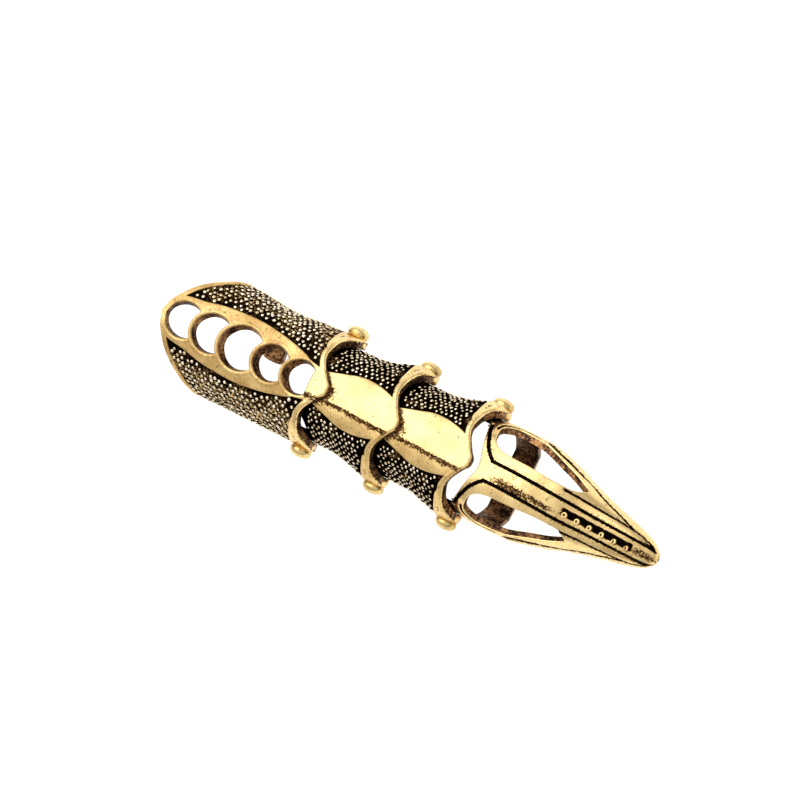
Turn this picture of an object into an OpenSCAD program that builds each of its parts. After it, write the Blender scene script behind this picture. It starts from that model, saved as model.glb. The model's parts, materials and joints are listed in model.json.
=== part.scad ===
// Knuckle armor ring: a finger-long ring of four riveted plates that bend with the finger.
// X runs along the finger towards the claw's tip, Z is up, and the origin is on the surface
// that the ring rests on, under the middle of its length. Sizes are in millimetres.

/* [Finger and walls] */
// Inner radius of the base plate, where the finger goes in
bore_r = 9.3; // [8.6:0.1:10.2]
// Thickness of the plates
wall = 1.2; // [1:0.05:1.5]
// How far the side edges of the plates reach below the finger's axis
skirt = 1.2; // [0.6:0.1:1.8]
// Height of the polished panels and rims above the blackened ground
relief = 0.3; // [0.2:0.05:0.45]
// Height of the lips above the blackened ground
lip_relief = 0.5; // [0.35:0.05:0.7]

/* [Joints] */
// Distance from one joint axis to the next
pitch = 15.1; // [14:0.1:18]
// Radial space between a lip and the plate that nests under it
nest_gap = 0.5; // [0.4:0.05:0.7]
// Radius of the rivets' shanks
shank_r = 0.8; // [0.6:0.05:1]
// Radial running clearance of the shanks in their bores
shank_clear = 0.05; // [0.02:0.01:0.08]
// Radius of the round ears that the rivets join
ear_r = 2.15; // [1.9:0.05:2.5]
// Side play between the outer and the inner ear
ear_gap = 0.2; // [0.1:0.05:0.25]
// Radius of the rivets' domed heads
head_r = 2; // [1.6:0.05:2.2]
// Height of the rivets' domed heads
head_h = 1.45; // [1:0.05:1.8]

/* [Base plate] */
// Length of the base plate behind the first joint axis, along its ridge
base_len = 31.1; // [29:0.1:34]
// Length of its side edges behind the first joint axis
side_len = 22.5; // [21.5:0.1:24]
// Reach of its pointed tongue in front of the first joint axis
base_tongue = 3.4; // [2.8:0.1:4]
// Width of the smooth rim along its pointed rear edge
rear_rim = 1.2; // [0.8:0.1:1.6]
// Widest half-width of its polished leaf panel
leaf_w = 5.95; // [5.5:0.05:6.4]

/* [Knuckle plates] */
// Reach of the knuckle plates' tongues in front of their front joint axis
knuckle_tongue = 2.9; // [2.4:0.1:3.4]
// Widest half-width of their polished leaf panels
knuckle_leaf_w = 5; // [4.6:0.05:5.4]

/* [Bands] */
// How much the round bands are flattened underneath
flat_cut = 0.6; // [0.4:0.05:0.8]
// Width of the base plate's open band
band_w = 3.9; // [3:0.1:5]
// Distance from the first joint axis back to the middle of that band
band_back = 15.55; // [14:0.05:17]
// Width of the gap between that band's free ends
gap_w = 4.1; // [3:0.1:4.6]
// Sideways offset of the gap
gap_shift = -1.25; // [-1.5:0.05:1.5]
// Radius of the round free ends in plan
end_r = 4; // [3:0.1:6]
// Width of the claw's closed band
claw_band_w = 4.6; // [3.5:0.1:6]
// Distance from the third joint axis to the middle of that band
claw_band_x = 5.3; // [4.8:0.1:6.5]

/* [Claw] */
// Length of the claw in front of the third joint axis
claw_len = 38.5; // [35:0.5:44]
// Outer radius of the claw over the fingertip
claw_r = 9.4; // [9:0.05:9.9]
// Half-width of the raised strip along its ridge
strip_w = 1.85; // [1.5:0.05:2.2]
// Width of the engraved lines
line_w = 0.5; // [0.35:0.05:0.7]
// Depth of the engraved lines
line_depth = 0.35; // [0.2:0.05:0.5]
// Half-width of the sunk channel in the strip
channel_w = 0.95; // [0.7:0.05:1.1]
// Radius of the small beads in the channel
bead_r = 0.7; // [0.5:0.05:0.8]
// Number of those beads
bead_count = 6; // [4:1:7]
// Angle from straight up to the middle of each side window
window_lean = 50; // [46:1:54]

/* [Hidden] */
$fn = 64;
metal = "#C9A55A";
rivet_metal = "#D8B86A";

// Radii, heights and sideways places that follow from the sizes above
ground_r = bore_r + wall;
nest_r = bore_r - nest_gap;
stand_h = ground_r - flat_cut;
seat_lift = 0.1;
ear_stand = 0.25;
tail_flange = 0.45;
bead_stand = 0.15;
inner_ear_out_y = nest_r + seat_lift;
inner_ear_in_y = nest_r - wall - seat_lift;
outer_ear_in_y = inner_ear_out_y + ear_gap;
outer_ear_out_y = ground_r + lip_relief + ear_stand;
tail_r = shank_r + tail_flange;
tail_h = 0.35;
head_rim_h = 0.35;
x_mid = (2 * pitch + claw_len - base_len) / 2;
far = 4 * ground_r;
// The side rims end this far short of the rear rim, and their height is this share of the skirt
rim_inset = 0.2;
rim_share = 0.7;
// How far a tongue reaches back under its lip, and where its outline ends as a share of the radius
tongue_back = 0.5;
tongue_half = 0.5;
// The windows are cut from this share of the claw's radius outwards
window_floor = 0.3;
// How far a cutter reaches past what it cuts
past = 1;

// Outlines in plan, one row for each bend: share of a length, then share of a radius or width.
// The base plate's rear edge, from the end of its side edge (0) to its point (1)
rear_edge = [[0, 1.2], [0, 1.02], [0.12, 0.945], [0.3, 0.835], [0.48, 0.705], [0.66, 0.56],
    [0.8, 0.4], [0.92, 0.235], [1, 0]];
// A lip's front edge: share of the tongue's reach, share of the ground radius
lip_front = [[1, 0], [0.96, 0.085], [0.67, 0.195], [0.35, 0.333], [0.09, 0.457], [-0.04, 0.571],
    [-0.04, 0.686], [0.08, 0.81], [0.29, 0.895], [0.55, 0.952], [0.68, 1.02], [0.68, 1.2]];
// Where the lip's bar parts from the tongue, as a share of the ground radius
lip_root = 0.3;
// A lip's rear edge: share of the ear's radius, share of the ground radius
lip_rear = [[-1.1, 1.2], [-0.98, 0.98], [-0.88, 0.857], [-0.81, 0.714], [-0.7, 0.571],
    [-0.42, 0.429], [-0.05, 0.314]];
// Half of the base plate's leaf: share of its length, share of the leaf's half-width
base_leaf = [[0, 0.55], [-0.065, 0.62], [-0.13, 0.74], [-0.25, 0.89], [-0.375, 0.97],
    [-0.47, 1], [-0.56, 0.975], [-0.675, 0.915], [-0.79, 0.79], [-0.91, 0.69], [-0.955, 0.5]];
// Half of a knuckle plate's leaf: share of the pitch, share of the leaf's half-width
knuckle_leaf = [[0.98, 0.8], [0.91, 0.88], [0.74, 0.98], [0.55, 1], [0.43, 0.96],
    [0.3, 0.84], [0.09, 0.64], [-0.05, 0.58]];
// A knuckle plate's rear edge: share of the ear's radius, share of the ground radius
knuckle_rear = [[0.55, 1.2], [0.55, 0.8], [0.3, 0.69], [0.2, 0.58], [0, 0.47], [-0.37, 0.34],
    [-0.4, 0]];
// The claw's rear edge: share of the claw's length, share of the claw's radius
claw_rear = [[-0.02, 1.2], [-0.015, 0.95], [0.014, 0.87], [0.027, 0.775], [0.049, 0.606],
    [0.07, 0.425], [0.088, 0.245], [0.106, 0]];
// Radius along a knuckle plate: share of the pitch, share of the way out to the ground radius
flare = [[-0.12, 0], [0.33, 0], [0.45, 0.16], [0.55, 0.36], [0.7, 0.68], [0.85, 0.93],
    [0.93, 1], [1.24, 1]];
// Radius along the claw: share of its length, share of its radius
nose = [[0.094, 1], [0.28, 1], [0.353, 0.962], [0.426, 0.883], [0.494, 0.811], [0.571, 0.691],
    [0.67, 0.579], [0.766, 0.479], [0.862, 0.383], [0.935, 0.287], [0.974, 0.181],
    [0.994, 0.08], [1, 0]];
// A window's outline about its middle line: share of the claw's length, share of its radius
window = [[0.091, 0], [0.097, 0.14], [0.123, 0.3], [0.168, 0.395], [0.262, 0.383], [0.369, 0.26],
    [0.468, 0.16], [0.545, 0.096], [0.6, -0.031], [0.553, -0.2], [0.496, -0.291],
    [0.408, -0.368], [0.265, -0.419], [0.177, -0.4], [0.127, -0.309], [0.101, -0.139]];
// Engraved lines of the claw: share of its length, share of its radius
rear_line = [[0.042, 0.83], [0.074, 0.585], [0.1, 0.42], [0.127, 0.31]];
side_line = [[0.52, 0.375], [0.65, 0.355], [0.78, 0.33], [0.93, 0.305]];
bar_line = [[0.5, 0.8], [0.58, 0.69], [0.64, 0.612], [0.74, 0.473], [0.83, 0.345]];
strip_corner = 0.16;
channel = [0.555, 0.905];
// Crescent holes: centre as a share of the base length, radius and rim as shares of its radius
holes = [[0.855, 0.319, 0.07], [0.672, 0.348, 0.071], [0.476, 0.395, 0.071],
    [0.272, 0.324, 0.071], [0.0836, 0.303, 0.065]];
hole_front = 0.0148;
// Half-width of a band from its flat up to its root: share of the stand height, of its width
band_side = [[-1.3, 0.5], [-0.6, 0.5], [-0.35, 0.62], [-0.12, 0.85], [0.06, 0.85]];

function backwards(p) = [for (i = [len(p) - 1 : -1 : 0]) p[i]];
function mirrored(p) = concat(p, [for (q = backwards(p)) if (q[1] > 0) [q[0], -q[1]]]);
function scaled(p, a, b) = [for (q = p) [q[0] * a, q[1] * b]];
function moved(p, dx) = [for (q = p) [q[0] + dx, q[1]]];
function grown(rows, d) = [for (q = rows) [q[0], max(q[1] + d, 0)]];
function normal_at(p, i) = let (d = p[min(i + 1, len(p) - 1)] - p[max(i - 1, 0)])
    [-d[1], d[0]] / norm(d);
// The outline of a line of width w along the path p
function ribbon(p, w) = concat([for (i = [0 : len(p) - 1]) p[i] + normal_at(p, i) * w / 2],
    [for (i = [len(p) - 1 : -1 : 0]) p[i] - normal_at(p, i) * w / 2]);

function lip_front_pts(reach) = scaled(lip_front, reach, ground_r);
base_rear_pts = moved(scaled(rear_edge, side_len - base_len, ground_r), -side_len);
base_rows = [[-base_len - past, ground_r], [base_tongue + past, ground_r]];
knuckle_rows = [for (q = flare) [q[0] * pitch, nest_r + q[1] * (ground_r - nest_r)]];
claw_rows = concat([[-ear_r, nest_r], [0.9 * ear_r, nest_r]], scaled(nose, claw_len, claw_r));
hollow_end = 0.87;
hollow_rows = concat([for (q = claw_rows) if (q[0] < hollow_end * claw_len) [q[0], q[1] - wall]],
    [[(hollow_end + 0.03) * claw_len, 0.2 * wall]]);

// Everything is drawn about the first joint axis and then set on the surface
module place(step = 0) {
    translate([step * pitch - x_mid, 0, stand_h]) children();
}

// A solid of revolution about the X axis from rows of [x, radius]
module turned(rows) {
    last = rows[len(rows) - 1];
    rotate([0, 90, 0]) rotate_extrude()
        polygon(concat([[0, rows[0][0]]], [for (q = rows) [q[1], q[0]]],
            last[1] > 0 ? [[0, last[0]]] : []));
}

// An outline in plan, raised from the skirt's lower edge
module plan(points) {
    translate([0, 0, -skirt]) linear_extrude(far) polygon(points);
}

// Everything above the height z
module above(z) {
    translate([-far, -far, z]) cube([2 * far, 2 * far, far]);
}

// A round bar along Y from y0 to y1, on the joint axis
module cross_bar(r, y0, y1) {
    translate([0, y0, 0]) rotate([-90, 0, 0]) cylinder(r = r, h = y1 - y0);
}

module both_sides() {
    children();
    mirror([0, 1, 0]) children();
}

module outer_ears() {
    both_sides() cross_bar(ear_r, outer_ear_in_y, outer_ear_out_y);
}

module inner_ears() {
    both_sides() cross_bar(ear_r, inner_ear_in_y, inner_ear_out_y);
}

module rivet_bore() {
    cross_bar(shank_r + shank_clear, -far / 2, far / 2);
}

// The tongue in the middle of a plate's front edge
module tongue_plan(reach) {
    plan(mirrored(concat([for (q = lip_front_pts(reach)) if (q[1] < tongue_half * ground_r) q],
        [[-tongue_back, lip_root * ground_r]])));
}

// The bars of a lip, on both sides of the tongue
module lip_plan(reach) {
    both_sides() plan(concat([for (q = lip_front_pts(reach)) if (q[1] > lip_root * ground_r) q],
        scaled(lip_rear, ear_r, ground_r)));
}

// The smooth rim along the side edges, from x0 to x1
module edge_rim(x0, x1) {
    translate([x0, -far / 2, -skirt]) cube([x1 - x0, far, rim_share * skirt]);
}

// A crescent hole: a circle, cut by the rim of the next hole
module crescent(i) {
    difference() {
        translate([-holes[i][0] * base_len, 0, 0])
            cylinder(r = holes[i][1] * ground_r, h = far);
        if (i < len(holes) - 1)
            translate([-holes[i + 1][0] * base_len, 0, -past])
                cylinder(r = (holes[i + 1][1] + holes[i + 1][2]) * ground_r, h = far + 2 * past);
        else
            translate([-hole_front * base_len, -far / 2, -past]) cube([far, far, far + 2 * past]);
    }
}

// The side view of a band of width w, as a prism across the finger
module band_plan(x, w, back_flare) {
    front = [for (q = band_side) [q[1] * w, q[0] * stand_h]];
    back = [for (q = backwards(band_side)) [-max(q[1] * back_flare, 0.5) * w, q[0] * stand_h]];
    translate([x, far / 2, 0]) rotate([90, 0, 0]) linear_extrude(far) polygon(concat(front, back));
}

// The gap between the free ends of the open band, with bowed ends
module band_gap() {
    bow = end_r - sqrt(end_r * end_r - band_w * band_w / 4);
    translate([-band_back, gap_shift, -far]) difference() {
        translate([-band_w, -gap_w / 2 - bow, 0])
            cube([2 * band_w, gap_w + 2 * bow, far - 0.5 * stand_h]);
        both_sides() translate([0, gap_w / 2 + end_r, -past]) cylinder(r = end_r, h = far);
    }
}

module base_plate() {
    color(metal) place() difference() {
        union() {
            difference() {
                union() {
                    intersection() {
                        turned(base_rows);
                        above(-stand_h);
                        union() {
                            plan(mirrored(concat(lip_front_pts(base_tongue), base_rear_pts)));
                            band_plan(-band_back, band_w, 1);
                        }
                    }
                    intersection() {
                        turned(grown(base_rows, relief));
                        union() {
                            plan(mirrored(scaled(base_leaf, base_len, leaf_w)));
                            tongue_plan(base_tongue);
                            plan(concat(mirrored(base_rear_pts),
                                backwards(moved(mirrored(base_rear_pts), rear_rim))));
                            edge_rim(-side_len + rim_inset, 0);
                        }
                    }
                    intersection() {
                        turned(grown(base_rows, lip_relief));
                        lip_plan(base_tongue);
                    }
                }
                intersection() {
                    turned([[-base_len - 2 * past, bore_r], [base_tongue + 2 * past, bore_r]]);
                    above(wall - stand_h);
                }
                for (i = [0 : len(holes) - 1]) crescent(i);
                band_gap();
            }
            outer_ears();
        }
        rivet_bore();
    }
}

// A knuckle plate, drawn about its rear joint axis
module knuckle_plate() {
    difference() {
        union() {
            difference() {
                union() {
                    intersection() {
                        turned(knuckle_rows);
                        plan(mirrored(concat(moved(lip_front_pts(knuckle_tongue), pitch),
                            scaled(knuckle_rear, ear_r, ground_r))));
                    }
                    intersection() {
                        turned(grown(knuckle_rows, relief));
                        union() {
                            plan(mirrored(scaled(knuckle_leaf, pitch, knuckle_leaf_w)));
                            translate([pitch, 0, 0]) tongue_plan(knuckle_tongue);
                            edge_rim(2 * ear_r, pitch);
                        }
                    }
                    intersection() {
                        turned(grown(knuckle_rows, lip_relief));
                        translate([pitch, 0, 0]) lip_plan(knuckle_tongue);
                    }
                }
                turned(concat([[-pitch, nest_r - wall]], grown(knuckle_rows, -wall),
                    [[2 * pitch, bore_r]]));
            }
            inner_ears();
            translate([pitch, 0, 0]) outer_ears();
        }
        rivet_bore();
        translate([pitch, 0, 0]) rivet_bore();
    }
}

module knuckle_plate_rear() {
    color(metal) place() knuckle_plate();
}

module knuckle_plate_front() {
    color(metal) place(1) knuckle_plate();
}

// Engraved lines and the bead channel of the claw, in plan
module claw_lines() {
    both_sides() {
        plan(ribbon(concat(scaled(rear_line, claw_len, claw_r),
            [[strip_corner * claw_len, strip_w], [claw_len, strip_w]]), line_w));
        plan(ribbon(scaled(side_line, claw_len, claw_r), line_w));
        plan(ribbon(scaled(bar_line, claw_len, claw_r), line_w));
    }
    translate([channel[0] * claw_len, -channel_w, 0])
        cube([(channel[1] - channel[0]) * claw_len, 2 * channel_w, far]);
}

// The small beads stand in a row in the channel
module claw_beads() {
    x0 = channel[0] * claw_len + bead_r;
    x1 = channel[1] * claw_len - bead_r;
    for (i = [0 : bead_count - 1]) {
        x = x0 + (x1 - x0) * i / (bead_count - 1);
        translate([x, 0, lookup(x, claw_rows) - bead_r + bead_stand]) sphere(r = bead_r);
    }
}

// The closed band under the fingertip, round a centre below the axis so that it reaches the stand
module claw_band() {
    band_r = claw_r - 1.5 * seat_lift;
    drop = stand_h + flat_cut - band_r;
    intersection() {
        difference() {
            translate([0, 0, -drop]) turned([[-pitch, band_r], [pitch, band_r]]);
            intersection() {
                translate([0, 0, -drop])
                    turned([[-pitch - past, band_r - wall], [pitch + past, band_r - wall]]);
                above(wall - stand_h);
            }
        }
        above(-stand_h);
        band_plan(claw_band_x, claw_band_w, 0);
    }
}

module claw() {
    color(metal) place(2) difference() {
        union() {
            difference() {
                intersection() {
                    turned(claw_rows);
                    plan(mirrored(concat([[claw_len + past, 0], [claw_len + past, 1.2 * claw_r]],
                        scaled(claw_rear, claw_len, claw_r))));
                }
                turned(concat([[-pitch, nest_r - wall]], hollow_rows));
                difference() {
                    claw_lines();
                    turned(grown(claw_rows, -line_depth));
                }
                both_sides() rotate([-window_lean, 0, 0])
                    translate([0, 0, window_floor * claw_r]) linear_extrude(far)
                        polygon(scaled(window, claw_len, claw_r));
            }
            inner_ears();
            claw_band();
            claw_beads();
        }
        rivet_bore();
    }
}

// A rivet with a domed head outside and a flat tail inside; side is 1 or -1
module rivet(step, side) {
    dome_h = head_h - head_rim_h;
    dome_r = (head_r * head_r + dome_h * dome_h) / (2 * dome_h);
    tail_y = inner_ear_in_y - ear_gap;
    color(rivet_metal) place(step) mirror([0, side < 0 ? 1 : 0, 0]) rotate([-90, 0, 0]) {
        rotate_extrude() polygon([[0, tail_y - tail_h], [tail_r, tail_y - tail_h],
            [tail_r, tail_y], [shank_r, tail_y], [shank_r, outer_ear_out_y],
            [head_r, outer_ear_out_y], [head_r, outer_ear_out_y + head_rim_h],
            [0, outer_ear_out_y + head_rim_h]]);
        intersection() {
            translate([0, 0, outer_ear_out_y + head_h - dome_r]) sphere(r = dome_r);
            translate([0, 0, outer_ear_out_y + head_rim_h]) cylinder(r = 2 * head_r, h = head_h);
        }
    }
}

base_plate();
knuckle_plate_rear();
knuckle_plate_front();
claw();
rivet(0, 1);  // rivet_rear_left
rivet(0, -1);  // rivet_rear_right
rivet(1, 1);  // rivet_middle_left
rivet(1, -1);  // rivet_middle_right
rivet(2, 1);  // rivet_front_left
rivet(2, -1);  // rivet_front_right
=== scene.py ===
# Knuckle armor ring: the cast plates, rivets, granulation and finishes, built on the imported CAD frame.
import json
import math
from functools import partial

import bmesh
import bpy
import numpy as np
from mathutils import Matrix, Vector
from mathutils.geometry import delaunay_2d_cdt


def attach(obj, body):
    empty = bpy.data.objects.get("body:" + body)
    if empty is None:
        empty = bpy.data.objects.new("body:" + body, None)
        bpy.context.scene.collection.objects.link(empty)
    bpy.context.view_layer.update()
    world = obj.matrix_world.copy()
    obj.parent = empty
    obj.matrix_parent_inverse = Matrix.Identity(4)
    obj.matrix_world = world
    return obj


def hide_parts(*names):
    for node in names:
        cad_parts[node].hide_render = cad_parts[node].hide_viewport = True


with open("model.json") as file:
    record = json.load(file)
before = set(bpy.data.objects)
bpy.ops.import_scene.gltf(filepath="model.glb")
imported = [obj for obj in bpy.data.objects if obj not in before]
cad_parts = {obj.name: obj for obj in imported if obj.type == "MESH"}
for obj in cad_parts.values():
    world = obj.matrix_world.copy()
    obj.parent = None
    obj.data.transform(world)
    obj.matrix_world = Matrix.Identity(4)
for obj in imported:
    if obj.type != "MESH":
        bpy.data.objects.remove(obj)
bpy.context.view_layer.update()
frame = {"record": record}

# Shared sizes in millimetres. The joints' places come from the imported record.
ring = {
    "boreRadius": 9.3,
    "groundRadius": 10.5,    # the blackened ground, under the panels and lips
    "wall": 1.2,
    "skirt": 1.2,            # the side edges reach this far below the finger's axis
    "standHeight": 9.9,      # from the axis down to the surface
    "panelRelief": 0.3,
    "panelSwell": 0.16,      # the panels rise by this much more towards the lip
    "lipRelief": 0.5,
    "earRadius": 2.15,
    "innerEar": (7.5, 9.05),
    "outerEar": (9.1, 11.25),
    "edgeRound": 0.22,       # the rounding along every outer edge
    "grainRoom": 0.42,       # the grains keep this far from panels and lips
    "markAside": -1.9,       # the darker band along the panels lies this far to the right of the ridge
    "smearAndShadeStrength": 0.6,       # the darkening added by smears and painted shadows, and how speckled it is
    "smearAndShadeSpeckle": 0.08,
}
joints = [Vector(j["pos_m"]) * 1000 for j in frame["record"]["behaviour"]["joints"]]
unroll = ring["groundRadius"]    # millimetres round the finger for each radian
metre = 0.001    # one millimetre in metres


# Curves in the unrolled plane: column 0 runs along the finger, column 1 round it, both in millimetres

def unrolled(rows):    # rows of (along in mm, round in degrees)
    points = np.array(rows, float)
    points[:, 1] = np.radians(points[:, 1]) * unroll
    return points


def skirtRound(radius, steepest=1):    # how far round the side edge lies, where the plate has that radius
    share = np.clip(ring["skirt"] / np.maximum(radius, 0.01), 0, steepest)
    return (math.pi / 2 + np.arcsin(share)) * unroll


def runAlong(line):    # the distance covered at each point
    return np.r_[0, np.cumsum(np.hypot(*np.diff(line, axis=0).T))]


def evenly(line, step, closed=False):    # the same line with points about that far apart
    if closed:
        line = np.vstack([line, line[:1]])
    run = runAlong(line)
    stops = np.linspace(0, run[-1], max(int(run[-1] / step), 2) + 1)
    even = np.column_stack([np.interp(stops, run, line[:, k]) for k in (0, 1)])
    return even[:-1] if closed else even


def smoothed(points, step, closed=False):    # a Catmull-Rom curve through the points, evenly spaced
    p = np.asarray(points, float)
    q = np.vstack([p[-1:], p, p[:2]] if closed else [p[:1], p, p[-1:]])
    t = np.linspace(0, 1, 12, endpoint=False)[:, None]
    spans = [0.5 * (2 * b + (c - a) * t + (2 * a - 5 * b + 4 * c - d) * t ** 2
                    + (3 * b - a - 3 * c + d) * t ** 3) for a, b, c, d in zip(q, q[1:], q[2:], q[3:])]
    return evenly(np.vstack(spans if closed else spans + [p[-1:]]), step, closed)


def mirrorRound(points):    # the same curve on the other side of the ridge
    return np.asarray(points) * (1, -1)


def bothSides(line):
    return [line, mirrorRound(line)]


def folded(points):    # the right side laid on the left
    return np.column_stack([points[:, 0], np.abs(points[:, 1])])


def across(points):    # a half curve from the side to the ridge, carried on to the other side
    p = np.asarray(points)
    return np.vstack([p, mirrorRound(p)[-2 if abs(p[-1, 1]) < 1e-6 else -1::-1]])


def distanceTo(points, line, closed=False):
    a = line if closed else line[:-1]
    b = np.roll(line, -1, axis=0) if closed else line[1:]
    best = np.full(len(points), 1e9)
    for k in range(0, len(a), 48):    # in lots, to spare memory
        start, way = a[k:k + 48], b[k:k + 48] - a[k:k + 48]
        offset = points[:, None] - start[None]
        share = np.clip((offset * way).sum(2) / np.maximum((way ** 2).sum(1), 1e-12), 0, 1)
        gap = offset - share[..., None] * way
        best = np.minimum(best, (gap ** 2).sum(2).min(1))
    return np.sqrt(best)


def nearest(points, loops):    # the distance to the nearest of several closed loops
    return np.min([distanceTo(points, loop, True) for loop in loops], axis=0)


def insideOf(points, loop, holes=()):
    inside = np.zeros(len(points), bool)
    for (x0, y0), (x1, y1) in zip(loop, np.roll(loop, -1, axis=0)):
        if y0 != y1:
            hit = (y0 > points[:, 1]) != (y1 > points[:, 1])
            inside ^= hit & (points[:, 0] < x0 + (points[:, 1] - y0) * (x1 - x0) / (y1 - y0))
    for hole in holes:
        inside &= ~insideOf(points, hole)
    return inside


def signedInside(points, loop):    # positive inside the loop
    return np.where(insideOf(points, loop), 1, -1) * distanceTo(points, loop, True)


def ramp(low, high, value):
    t = np.clip((value - low) / (high - low), 0, 1)
    return t * t * (3 - 2 * t)


def bell(value, width):
    return np.exp(-(value / width) ** 2)


def dome(value):    # the height of a half circle of radius 1
    return np.sqrt(np.maximum(1 - np.asarray(value) ** 2, 0))


def waves(points, scale, seed):    # soft irregular waves of about that length, mostly from -1 to 1
    rng = np.random.default_rng(seed)
    total = np.zeros(len(points))
    for k in range(7):
        angle, size = rng.uniform(0, 2 * math.pi), rng.uniform(0.7, 1.4) * 2 * math.pi / scale
        total += np.sin(size * (points[:, 0] * math.cos(angle) + points[:, 1] * math.sin(angle))
                        + rng.uniform(0, 2 * math.pi))
    return total / 4


def offsetPair(line, distance, closed=False, keep=0.85):
    # The two lines beside a line, without the points that a bend brings too near to it
    ahead = np.roll(line, -1, axis=0) if closed else np.vstack([line[1:], line[-1:]])
    behind = np.roll(line, 1, axis=0) if closed else np.vstack([line[:1], line[:-1]])
    way = ahead - behind
    side = np.column_stack([-way[:, 1], way[:, 0]]) / np.maximum(np.hypot(*way.T), 1e-9)[:, None]
    reach = np.broadcast_to(distance, len(line))
    rows = [line + sign * reach[:, None] * side for sign in (1, -1)]
    return [row[distanceTo(row, line, closed) > keep * reach] for row in rows]


def lattice(low, high, pitch):    # staggered rows of points over a box
    rows = []
    for k, y in enumerate(np.arange(low[1], high[1], pitch * 0.87)):
        x = np.arange(low[0] + (k % 2) * pitch / 2, high[0], pitch)
        rows.append(np.column_stack([x, np.full(len(x), y)]))
    return np.vstack(rows)


# Meshes are gathered as parts: points in mm, faces, a finish for each face and the grime and painted shade on
# each point

def toRing(joint, along, angle, radius, drop=0.0):    # from a joint's axis into the shared frame
    place = joints[joint]
    return np.column_stack([place.x + along, radius * np.sin(angle), place.z - drop + radius * np.cos(angle)])


def makeSkin(joint, outline, holes, creases, outer, inner, spacing, toAlong=None, drop=0.0, lean=None):
    # A wall between two radii, cut along an outline and holes, with extra points along its creases
    loops = [outline] + holes
    # each line, whether it is closed, and how far beside it the rows of points lie
    beside = [(loop, True, (0.07, 0.15, 0.24)) for loop in loops]
    beside += [(loop, True, (0.38, 0.55)) for loop in holes]
    beside += [(line, False, (0.07, 0.2)) for line in creases]
    detail, grid = [], lattice(outline.min(0), outline.max(0), spacing)
    for line, closed, gaps in beside:
        for gap in gaps:
            detail += offsetPair(line, gap, closed, 0.9)
        grid = grid[distanceTo(grid, line, closed) > gaps[-1] + 0.4 * spacing]
    points = np.vstack(detail + [grid])
    points = points[insideOf(points, outline, holes) & (nearest(points, loops) > 0.05)]
    cells = np.round(points / 0.06).astype(np.int64)    # drops points that nearly fall together
    points = points[np.sort(np.unique(cells, axis=0, return_index=True)[1])]
    edges, start = [], 0
    for loop in loops:
        edges += [(start + i, start + (i + 1) % len(loop)) for i in range(len(loop))]
        start += len(loop)
    made = delaunay_2d_cdt([Vector(p) for p in np.vstack(loops + [points])], edges, [], 0, 1e-5)
    flat = np.array([tuple(v) for v in made[0]])
    faces = np.array([f for f in made[2] if len(f) == 3])
    faces = faces[insideOf(flat[faces].mean(1), outline, holes)]
    corner = flat[faces]
    turn = np.cross(corner[:, 1] - corner[:, 0], corner[:, 2] - corner[:, 0])
    faces[turn < 0] = faces[turn < 0][:, ::-1]
    faces = faces[np.abs(turn) > 1e-9]

    along = flat[:, 0] if toAlong is None else toAlong(flat[:, 0])
    angle = flat[:, 1] / unroll
    radius, grime, wear = outer(flat, along)
    rounding = ring["edgeRound"]
    radius = radius - rounding * (1 - dome(np.clip(1 - nearest(flat, loops) / rounding, 0, 1)))
    shift = np.zeros(flat.shape) if lean is None else lean(flat)
    top = toRing(joint, along, angle, radius, drop)
    bottom = toRing(joint, along + shift[:, 0], angle + shift[:, 1] / unroll, inner(flat, along), drop)
    directed = {(a, b) for f in faces.tolist() for a, b in ((f[0], f[1]), (f[1], f[2]), (f[2], f[0]))}
    count = len(flat)
    walls = [(a + count, b + count, b, a) for a, b in directed if (b, a) not in directed]
    return {"points": np.vstack([top, bottom]),
            "faces": faces.tolist() + (faces[:, ::-1] + count).tolist() + walls,
            "finish": [0] * len(faces) + [1] * (len(faces) + len(walls)),
            "grime": np.r_[grime, np.ones(count)],
            "wear": np.r_[wear, np.zeros(count)]}


def lathe(profile, centre, out, start, segments, grimesAndShade):
    # A solid of revolution from rows of (radius, distance outwards), turned from the start direction
    turn = np.linspace(0, 2 * math.pi, segments, endpoint=False)
    swing = np.outer(np.cos(turn), start) + np.outer(np.sin(turn), np.cross(out, start))
    points = [np.array(centre) + swing * radius + np.array(out) * height for radius, height in profile]
    faces = []
    for a in range(0, (len(profile) - 1) * segments, segments):
        b = a + segments
        faces += [(a + i, a + (i + 1) % segments, b + (i + 1) % segments, b + i) for i in range(segments)]
    faces += [tuple(range(segments))[::-1], tuple(range(b, b + segments))]
    return {"points": np.vstack(points), "faces": faces, "finish": [0] * len(faces),
            "grime": np.repeat(grimesAndShade, segments)}


def onHinge(profile, joint, side, segments, grimesAndShade):    # side is 1 for the left, -1 for the right
    centre = (joints[joint].x, 0, joints[joint].z)
    return lathe(profile, centre, (0, side, 0), (0, 0, 1), segments, grimesAndShade)


def addObject(name, data):
    item = bpy.data.objects.new(name, data)
    bpy.context.scene.collection.objects.link(item)
    return item


def addLayer(mesh, title, values):
    mesh.attributes.new(title, "FLOAT", "POINT").data.foreach_set("value", values.astype(np.float32))


def setPlace(item, spot, *axes):    # the object's own three axes, in the shared frame
    item.matrix_world = Matrix.Translation(spot) @ Matrix(axes).transposed().to_4x4()


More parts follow.
